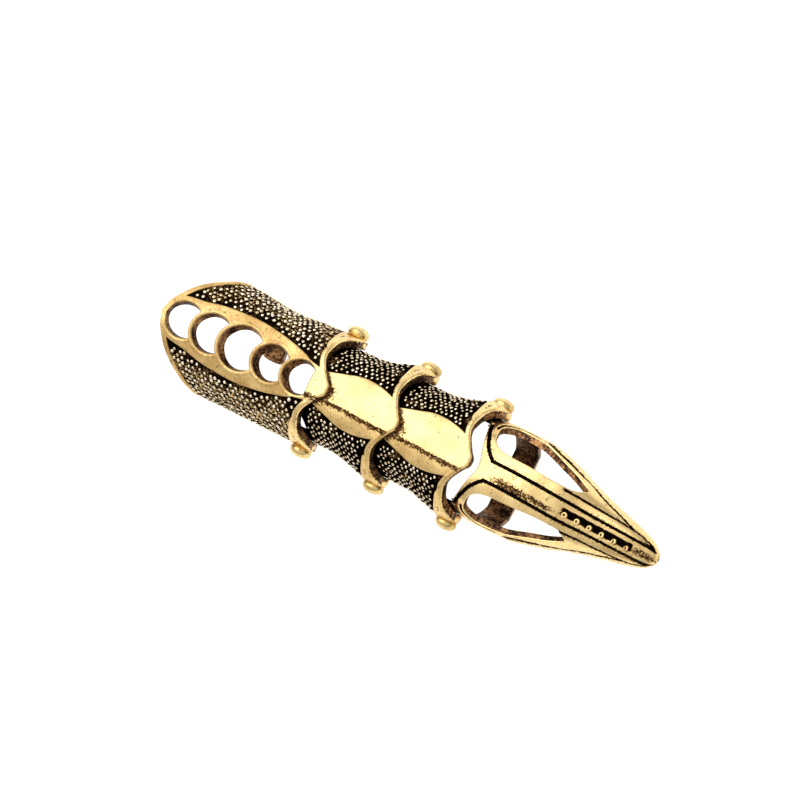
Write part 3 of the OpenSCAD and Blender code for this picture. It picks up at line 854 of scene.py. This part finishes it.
claw = {
    "length": 38.5,
    # mm from the third joint, outer radius
    "nose": [(-2.6, 8.8), (0, 8.82), (1.7, 9.0), (3.6, 9.4), (10.8, 9.4), (13.6, 9.04), (16.4, 8.32),
             (19, 7.62), (22, 6.5), (25.8, 5.44), (29.5, 4.5), (33.2, 3.6), (36, 2.7), (37.5, 1.7),
             (38.25, 0.8), (38.5, 0.02)],
    # mm from the joint, half-width in mm
    "rearEdge": [(-0.7, 8.78), (-0.58, 8.7), (0.1, 8.45), (0.54, 8.18), (1.04, 7.29), (1.9, 5.7), (2.7, 4.0),
                 (3.4, 2.3), (3.9, 1.0), (4.1, 0)],
    # mm from the joint, degrees from the ridge
    "window": [(3.9, 42), (4.9, 32), (6.8, 26.5), (10.2, 25.2), (15.7, 26), (19.1, 28.9), (21.0, 34.2),
               (22.5, 47.3), (22.2, 53), (20.8, 57.5), (18, 61), (14.2, 66), (10, 72.5), (6.2, 73), (4.6, 67),
               (3.6, 58)],
    # engraved lines: mm from the joint, half-width in mm
    "stripLine": [(1.35, 7.75), (1.7, 7.1), (2.85, 5.5), (3.85, 3.95), (4.9, 2.85), (5.7, 2.15), (6.3, 1.9),
                  (7.2, 1.85), (20, 1.85), (26, 1.7), (34, 1.66), (36.6, 1.64), (37.4, 1.6)],
    "sideLine": [(19.6, 3.5), (22, 3.45), (25, 3.3), (30, 3.1), (34, 2.75), (36.4, 2.1)],
    "barLine": [(12, 9.08), (13.6, 8.68), (16.4, 7.95), (19, 7.2), (22.4, 6.1), (24.6, 5.35), (26.6, 4.7),
                (28.5, 4.2), (31.1, 3.45), (32.4, 3.1)],
    # each line's step, half its own width, its depth, and how much wider it is at the rear
    "lines": [("stripLine", 0.2, 0.27, 0.36, 0), ("sideLine", 0.25, 0.22, 0.3, 0),
              ("barLine", 0.25, 0.25, 0.3, 1.1)],
    "stripHalf": 1.85,
    "stripFlat": 0.7,     # 0 follows the round nose, 1 is quite flat
    "channel": (20.6, 34.0),
    "channelHalf": 0.74,
    "channelDepth": 0.35,
    "barGroove": 0.62,    # from the window's edge to the line along the bar beside it
    "drift": -0.42,       # the strip's pattern runs this far to the right of the ridge towards the tip
    "bend": -1.0,         # the lean of the tip, which reaches three quarters of it
    "beadCount": 6,
    "beadInset": 0.75,
    "beadAside": -0.42,
    # old blackening on the strip: mm along, its reach, mm aside, its reach, strength
    "smears": [(10.6, 3.3, -1.15, 1.0, 1.05), (16.6, 3.2, -0.85, 0.55, 0.95), (36.2, 2.4, -0.1, 0.7, 0.9)],
    "windowLean": (0.75, 0.35),   # left and right window
    "bandCentre": 5.3,
    "bandWidth": 4.6,
    "bandRadius": 9.25,
    "spacing": 0.4,
}
clawNose = smoothed(claw["nose"], 0.08)


def radiusAt(along):
    return np.interp(along, clawNose[:, 0], clawNose[:, 1])


def bendAt(along):
    return claw["bend"] * ramp(10, 52, along)


def makeClaw(spec):
    joint = 2
    run = runAlong(clawNose) + clawNose[0, 0]

    def toRun(along):
        return np.interp(along, clawNose[:, 0], run)

    def toAlong(distance):
        return np.interp(distance, run, clawNose[:, 0])

    def fromWidth(rows, step):    # mm along and half-width in mm, as a curve in the unrolled plane
        line = smoothed(rows, step)
        share = np.clip(line[:, 1] / np.maximum(radiusAt(line[:, 0]), 0.01), -1, 1)
        return np.column_stack([toRun(line[:, 0]), np.arcsin(share) * unroll])

    def driftAt(along):    # in the unrolled plane
        return spec["drift"] * ramp(8, 22, along) / np.maximum(radiusAt(along), 1) * unroll

    def stretchAt(along):    # how much wider a line is drawn in the unrolled plane than on the metal
        return np.clip(unroll / np.maximum(radiusAt(along), 0.01), 1, 3.4)

    xs = np.r_[np.linspace(-0.7, 34, 120), np.linspace(34.3, spec["length"], 22)[:-1]]
    side = np.column_stack([toRun(xs), skirtRound(radiusAt(xs), math.sin(math.radians(62)))])
    nosePoints = np.column_stack([np.full(40, run[-1]), np.linspace(-side[-1, 1], side[-1, 1], 40)])
    rearEdge = across(fromWidth(spec["rearEdge"], 0.2))
    outline = np.vstack([nosePoints, side[::-1], rearEdge, mirrorRound(side)])
    windowRows = unrolled(spec["window"])
    windowRows[:, 0] = toRun(windowRows[:, 0])
    window = smoothed(windowRows, 0.2, True)
    holes = [window, mirrorRound(window)[::-1]]
    lines = [(fromWidth(spec[key], step), *shape) for key, step, *shape in spec["lines"]]
    low, high = toRun(spec["channel"][0]), toRun(spec["channel"][1])

    def outer(flat, along):
        radius = radiusAt(along)
        aside = flat[:, 1] - driftAt(along)
        half = np.column_stack([flat[:, 0], np.abs(aside)])
        angle = half[:, 1] / unroll
        stripAngle = np.arcsin(np.clip(spec["stripHalf"] / np.maximum(radius, 1.9), 0, 1))
        flatTop = radius * np.cos(stripAngle) / np.maximum(np.cos(np.minimum(angle, 1.2)), 0.3)
        share = spec["stripFlat"] * ramp(1.02, 0.98, angle / stripAngle)
        share = share * ramp(5, 9, along) * ramp(38.3, 35, along)
        radius = radius * (1 - share) + np.minimum(flatTop, radius) * share
        grime, shade = np.zeros(len(flat)), np.zeros(len(flat))
        for line, wide, depth, swell in lines:
            width = wide * (1 - 0.25 * ramp(18, 32, along)) * (1 + swell * ramp(22, 13, along))
            gap = distanceTo(half, line) / stretchAt(along) + 0.03 * waves(flat, 1.2, 19)
            shade = np.maximum(shade, bell(np.maximum(gap - width, 0), 0.3))
            radius = radius - depth * ramp(width + 0.06, width - 0.08, gap)
            grime = np.maximum(grime, ramp(width + 0.09, width - 0.03, gap))
        half = folded(flat)
        groove = bell(distanceTo(half, window, True) - spec["barGroove"], 0.26)
        groove *= ramp(8.6, 10.5, half[:, 1]) * ramp(11, 8, along)
        radius = radius - 0.22 * groove
        grime = np.maximum(grime, np.clip(1.4 * groove, 0, 1))
        aside = radius * np.sin(aside / unroll)    # mm from the strip's own middle
        edge = spec["channelHalf"] * (1 + 0.1 * waves(flat, 1.5, 23))
        inChannel = (ramp(low - 0.1, low + 0.15, flat[:, 0]) * ramp(high + 0.1, high - 0.15, flat[:, 0])
                     * ramp(1, 0.8, np.abs(aside) / edge))
        radius = radius - spec["channelDepth"] * inChannel
        smearAndShade = sum(strength * bell(along - middle, reach) * bell(aside - offset, width)
                    for middle, reach, offset, width, strength in spec["smears"])
        smearAndShade = np.clip(1.5 * smearAndShade * (1 + 0.3 * waves(flat * (1, 2), 1.5, 61)), 0, 1)
        # painted shadow: near black on the rear corners at the sides, where they reach in under the ear and
        # rivet head of the plate before
        rearCornerShadow = ramp(1.7, 0.7, along) * ramp(60, 72, np.degrees(half[:, 1] / unroll))
        grime = np.maximum.reduce([grime, inChannel, 0.58 * smearAndShade, 0.32 * shade, 0.95 * rearCornerShadow])
        return radius, np.clip(grime, 0, 1), np.maximum(0.12 * smearAndShade, 0.2 * shade)

    def inner(flat, along):    # the hollow closes towards the solid tip
        radius = np.maximum(radiusAt(along) - ring["wall"], 0.02)
        return 0.02 + (radius - 0.02) * ramp(34.8, 33.2, along)

    def drifted(line):
        return line + np.column_stack([np.zeros(len(line)), driftAt(toAlong(line[:, 0]))])

    def lean(flat):    # inside, each window's outer wall slopes towards the ridge
        shift = np.zeros((len(flat), 2))
        for loop, much, sign in zip(holes, spec["windowLean"], (-1, 1)):
            outward = ramp(8.6, 10.2, np.abs(flat[:, 1])) * sign
            shift[:, 1] += much * outward * ramp(1.6, 0.1, distanceTo(flat, loop, True))
        return shift

    creases = []
    for line, wide, depth, swell in lines:
        pair = offsetPair(line, wide * stretchAt(toAlong(line[:, 0])))
        creases += [drifted(row) for row in pair + [mirrorRound(row) for row in pair]]
    channelRun = np.linspace(low, high, 60)
    widths = np.arcsin(np.clip(spec["channelHalf"] / radiusAt(toAlong(channelRun)), 0, 1)) * unroll
    creases += [drifted(line) for line in bothSides(np.column_stack([channelRun, widths]))]
    for row in offsetPair(np.vstack([window, window[:1]]), spec["barGroove"]):
        if not insideOf(row[:1], window)[0]:
            creases += bothSides(row)
    skin = makeSkin(joint, outline, holes, creases, outer, inner, spec["spacing"], toAlong, lean=lean)
    skin["points"][:, 1] += bendAt(skin["points"][:, 0] - joints[joint].x)
    drop = ring["standHeight"] + 0.6 - spec["bandRadius"]
    band = bandStrip(joint, spec["bandCentre"], spec["bandWidth"], 0, None, spec["bandRadius"], drop, 51)
    return makePiece("claw_tip", [skin] + ears(joint, True) + band, finishes)


clawPiece = makeClaw(claw)


# The beads in the claw's channel: small studs with a dimple in the top

studs = {"radius": 0.64, "height": 0.5, "dimple": 0.22, "sunk": 0.45}


def makeStuds(spec, look):
    r, h, dimple = look["radius"], look["height"], look["dimple"]
    profile = [(r * 0.98, 0.0), (r, h * 0.35), (r * 0.93, h * 0.72), (r * 0.74, h * 0.97), (r * 0.55, h),
               (r * 0.4, h * 0.88), (r * 0.25, h - dimple), (0.03, h - dimple * 1.15)]
    grimesAndShade = [1, 0.6, 0.1, 0, 0, 0.3, 0.75, 0.6]
    parts = []
    low, high = spec["channel"][0] + spec["beadInset"], spec["channel"][1] - spec["beadInset"]
    for x in np.linspace(low, high, spec["beadCount"]):
        radius = float(radiusAt(x))
        flatTop = math.sqrt(1 - (spec["stripLine"][-1][1] / radius) ** 2)
        radius *= 1 - spec["stripFlat"] + spec["stripFlat"] * flatTop
        slope = float(radiusAt(x + 0.3) - radius) / 0.3
        place = (joints[2].x + x, spec["drift"] + spec["beadAside"] + float(bendAt(x)),
                 joints[2].z + radius - look["sunk"])
        up = Vector((-slope, 0, 1)).normalized()
        parts.append(lathe(profile, place, up, (up.z, 0, -up.x), 20, grimesAndShade))
    return makePiece("claw_studs", parts, [gold], 60)


studPiece = makeStuds(claw, studs)


# The rivets: a thick button head with a rounded rim, a shank through both ears and a flat tail

rivet = {"headRadius": 2.0, "headHeight": 2.15, "sunk": 0.7, "neck": 0.04,
         "belly": 0.42, "shank": 0.8, "tail": 1.0, "tailHeight": 0.3}


def makeRivet(name, joint, side, spec):
    headY = ring["outerEar"][1] - spec["sunk"]
    tailY = ring["innerEar"][0] - 0.2
    tailEnd = tailY - spec["tailHeight"]
    r, h, neck, belly = spec["headRadius"], spec["headHeight"], spec["neck"], spec["belly"]
    profile = [(0.02, tailEnd), (spec["tail"] - 0.08, tailEnd), (spec["tail"], tailEnd + 0.08),
               (spec["tail"], tailY), (spec["shank"], tailY), (spec["shank"], headY), (r * 0.68, headY),
               (r * 0.7, headY + neck)]
    grimesAndShade = [0.6, 0.5, 0.5, 0.8, 0.8, 0.6, 0.6, 0.6]
    for share in np.linspace(0.05, 1, 18):    # the head, a flattened ball that is widest at its belly
        wide = 1 - ((share - belly) / (1 - belly)) ** 2
        if share <= belly:
            wide = 1 - 0.5 * ((belly - share) / belly) ** 2
        profile.append((max(r * math.sqrt(wide), 0.02), headY + neck + (h - neck) * share))
        grimesAndShade.append(0.5 * max(0, 1 - share / 0.2))
    return makePiece(name, [onHinge(profile, joint, side, 48, grimesAndShade)], [rivetGold])


rivetPieces = {}
for joint, word in enumerate(("rear", "middle", "front")):
    for side, hand in ((1, "left"), (-1, "right")):
        node = "rivet_" + word + "_" + hand
        rivetPieces[node] = makeRivet("button_" + node, joint, side, rivet)


# Each piece rides on its body; the CAD nodes that the plates and rivets take the place of are hidden

for piece, body, node in ((basePiece, "base", "base_plate"), (rearPiece, "plate_rear", "knuckle_plate_rear"),
                          (frontPiece, "plate_front", "knuckle_plate_front"), (clawPiece, "claw", "claw")):
    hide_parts(node)
    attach(piece, body)
for piece, body in ((baseGrains, "base"), (rearGrains, "plate_rear"), (frontGrains, "plate_front"),
                    (studPiece, "claw")):
    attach(piece, body)
for node, piece in rivetPieces.items():
    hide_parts(node)
    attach(piece, {"rear": "base", "middle": "plate_rear", "front": "plate_front"}[node.split("_")[1]])
print("pieces placed")


# Floor, light and camera

stage = {
    "floor": "#9E9E9C",
    "floorGlow": "#FFFEFB",
    "glow": 0.93,             # light from under the white board, as on a light table
    "world": (0.36, 0.88),    # the room's brightness at the horizon and overhead
    "lampBack": 0.53,         # the softbox's direction: so far back and to the left for 1 up
    "lampLeft": 0.4,
    "lampDistance": 0.75,
    "lampSize": (0.94, 1.4),
    "lampRadiance": 1.4,
    "distance": 5,            # metres from the camera to the ring
    "tilt": 20,               # degrees from straight above, towards the claw
    "pictureTurn": 26.4,      # degrees that the finger's axis runs below horizontal in the picture
    "frameWidth": 0.14035,    # metres across the picture at the ring
    "picture": 800,           # pixels across
    "firstJoint": (329.8, 392.3),    # where the first joint shows in it
}


def makeStage(spec):
    mesh = bpy.data.meshes.new("floor")
    mesh.from_pydata([(-3, -3, 0), (3, -3, 0), (3, 3, 0), (-3, 3, 0)], [], [(0, 1, 2, 3)])
    material, _, shader = newMaterial("matt_white_board")    # smooth card, almost no gloss
    finish = {"Base Color": colour(spec["floor"]), "Roughness": 0.9, "Specular IOR Level": 0.1,
              "Emission Color": colour(spec["floorGlow"]), "Emission Strength": spec["glow"]}
    for socket, value in finish.items():
        shader.inputs[socket].default_value = value
    mesh.materials.append(material)
    floor = addObject("floor", mesh)
    world = bpy.data.worlds.new("studio")
    bpy.context.scene.world = world
    world.use_nodes = True
    add = partial(addNode, world.node_tree)
    way = add("ShaderNodeSeparateXYZ", None, {0: add("ShaderNodeTexCoord").outputs["Generated"]})
    horizon, overhead = spec["world"]
    level = add("ShaderNodeMapRange", {"From Max": 0.7, "To Min": horizon, "To Max": overhead},
                {"Value": way.outputs["Z"]})
    background = world.node_tree.nodes["Background"]
    background.inputs["Color"].default_value = (1.0, 0.985, 0.96, 1)
    wire(background, {"Strength": level})
    # a softbox above and behind, leaning to the wearer's left, with its length across the ring
    toLamp = Vector((-spec["lampBack"], spec["lampLeft"], 1.0)).normalized()
    widthways = (Vector((0, 1, 0)) - toLamp * toLamp.y).normalized()
    light = bpy.data.lights.new("softbox", "AREA")
    light.shape, light.size, light.size_y = "RECTANGLE", *spec["lampSize"]
    light.energy = spec["lampRadiance"] * math.pi * spec["lampSize"][0] * spec["lampSize"][1]
    lamp = addObject("softbox", light)
    setPlace(lamp, toLamp * spec["lampDistance"], widthways.cross(toLamp), widthways, toLamp)
    lamp.visible_camera = False


def makeCamera(spec):
    tilt, turn = math.radians(spec["tilt"]), math.radians(spec["pictureTurn"])
    back = Vector((math.sin(tilt), 0, math.cos(tilt)))
    along, left = Vector((math.cos(tilt), 0, -math.sin(tilt))), Vector((0, 1, 0))
    right = along * math.cos(turn) + left * math.sin(turn)
    up = -along * math.sin(turn) + left * math.cos(turn)
    pixel, middle = spec["frameWidth"] / spec["picture"], spec["picture"] / 2
    x, y = spec["firstJoint"]
    target = joints[0] * metre + right * (middle - x) * pixel - up * (middle - y) * pixel
    data = bpy.data.cameras.new("camera")
    data.sensor_width = 36
    data.lens = 36 * spec["distance"] / spec["frameWidth"]
    data.clip_start, data.clip_end = 0.01, 20
    camera = addObject("camera", data)
    setPlace(camera, target + back * spec["distance"], right, up, back)
    bpy.context.scene.camera = camera


makeStage(stage)
makeCamera(stage)
bpy.context.scene.view_settings.view_transform = "Standard"
print("stage ready")
